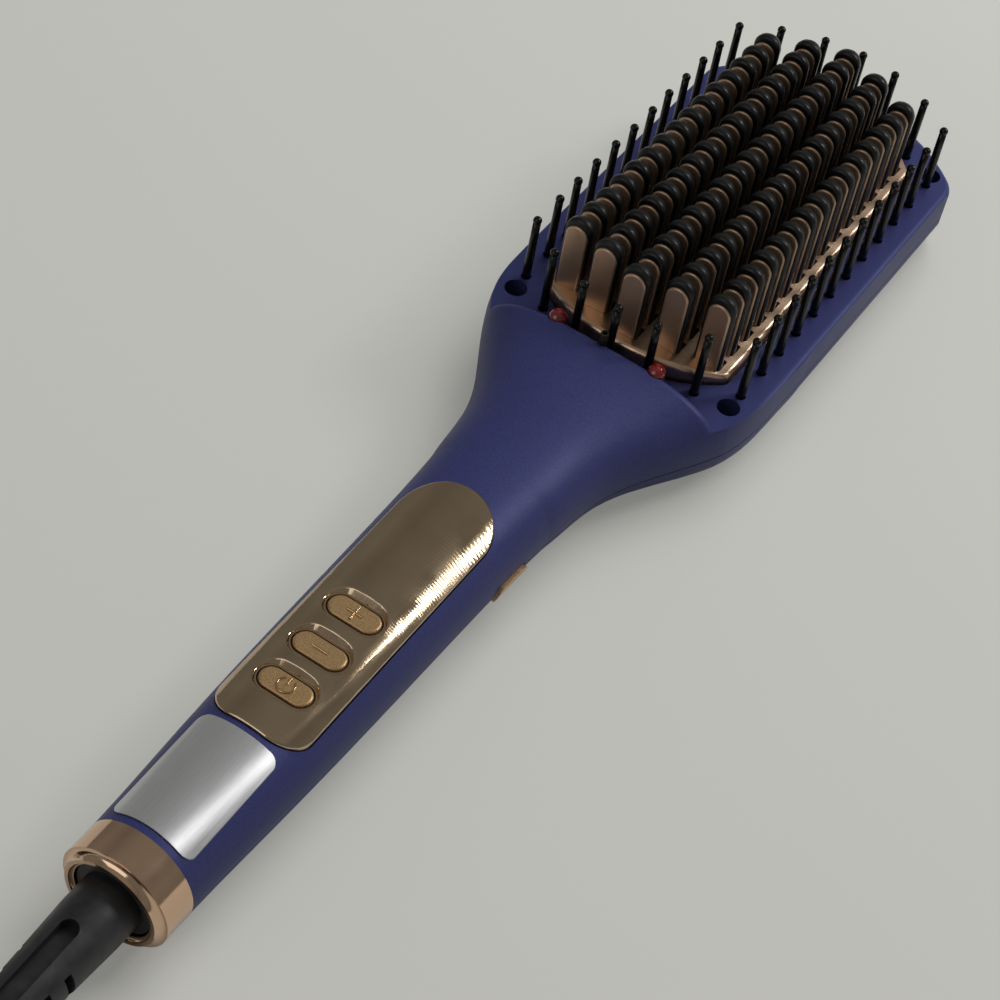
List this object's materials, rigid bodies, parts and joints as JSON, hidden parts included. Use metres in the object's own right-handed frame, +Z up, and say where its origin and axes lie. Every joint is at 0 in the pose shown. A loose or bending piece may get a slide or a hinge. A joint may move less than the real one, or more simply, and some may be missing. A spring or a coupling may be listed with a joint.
{
  "type": "heated hair straightening brush",
  "caption": "Heated hair straightening brush with steam nozzle, comb field on a crowned plate, push buttons on a mirror panel and a swivel cord.",
  "frame": {"origin": "under the middle of the brush, cord left out, on the surface that the back of its head rests on", "axes": "+Y from the cord end to the tip of the head, +Z up through the bristles, +X to the right"},
  "size_m": [0.0986, 0.4447, 0.0419],
  "materials": {
    "body_shell": "matte metallic navy",
    "panel_mirror": "rose-gold mirror",
    "button_gold": "champagne gold, fine grain",
    "rose_gold": "rose-gold satin coating",
    "collar_chrome": "rose-gold plated",
    "comb_black": "soft satin",
    "pin_black": "gloss",
    "frame_black": "matte",
    "lens_red": "clear red",
    "label_foil": "brushed foil",
    "steel": "plated",
    "spreader_alloy": "plain",
    "ceramic": "fired",
    "mica": "sheet",
    "board_green": "varnished",
    "component_black": "moulded",
    "tank_clear": "smoked",
    "plug_silicone": "matte",
    "nozzle_brass": "plain",
    "boot_rubber": "matte",
    "lead_red": "silicone",
    "cord_rubber": "matte",
    "plug_black": "moulded",
    "pin_nickel": "nickel"
  },
  "bodies": {
    "root": {"front_shell": "body_shell", "rear_shell": "body_shell", "control_panel": "panel_mirror", "heating_plate": "rose_gold", "heating_fins_1": "rose_gold", "heating_fins_2": "rose_gold", "heating_fins_3": "rose_gold", "heating_fins_4": "rose_gold", "heating_fins_5": "rose_gold", "collar": "collar_chrome", "comb_teeth_1": "comb_black", "comb_teeth_2": "comb_black", "comb_teeth_3": "comb_black", "comb_teeth_4": "comb_black", "comb_teeth_5": "comb_black", "guard_pins": "pin_black", "pin_frame": "frame_black", "red_lens_left": "lens_red", "red_lens_right": "lens_red", "rating_label": "label_foil", "head_screws": "steel", "handle_screws": "steel", "clamp_screws": "steel", "heater_clamp": "steel", "heat_spreader": "spreader_alloy", "heater_left": "ceramic", "heater_right": "ceramic", "thermistor": "ceramic", "mica_sheet": "mica", "main_board": "board_green", "switch_board": "board_green", "lens_board": "board_green", "button_switches": "component_black", "side_switch": "component_black", "power_parts": "component_black", "display_module": "component_black", "thermal_fuse": "component_black", "steam_pump": "component_black", "water_tank": "tank_clear", "water_hose": "plug_silicone", "steam_nozzle": "nozzle_brass", "swivel_contacts": "nozzle_brass", "vaporiser": "nozzle_brass", "inner_leads": "lead_red", "cord_lead": "cord_rubber", "cord_coil": "cord_rubber", "cord_tail": "cord_rubber", "plug_body": "plug_black", "plug_pins": "pin_nickel"},
    "plus_key": {"plus_button": "button_gold"},
    "minus_key": {"minus_button": "button_gold"},
    "power_key": {"power_button": "button_gold"},
    "side_key": {"side_button": "button_gold"},
    "cord_swivel": {"swivel_bush": "component_black", "strain_relief": "boot_rubber"},
    "filler": {"filler_plug": "plug_silicone"}
  },
  "joints": [
    {"name": "plus_press", "type": "slide", "parent": "root", "child": "plus_key", "axis": [0, 0, -1], "range_m": [0, 0.0006], "stiffness_N_per_m": 1500},
    {"name": "minus_press", "type": "slide", "parent": "root", "child": "minus_key", "axis": [0, 0, -1], "range_m": [0, 0.0006], "stiffness_N_per_m": 1500},
    {"name": "power_press", "type": "slide", "parent": "root", "child": "power_key", "axis": [0, 0, -1], "range_m": [0, 0.0006], "stiffness_N_per_m": 1500},
    {"name": "side_press", "type": "slide", "parent": "root", "child": "side_key", "axis": [-1, 0, 0], "range_m": [0, 0.0008], "stiffness_N_per_m": 1500},
    {"name": "cord_swivel_turn", "type": "hinge", "parent": "root", "child": "cord_swivel", "pos_m": [0, -0.11, 0.012], "axis": [0, 1, 0], "continuous": true},
    {"name": "filler_pull", "type": "slide", "parent": "root", "child": "filler", "axis": [0, 1, 0], "range_m": [0, 0.008]}
  ]
}
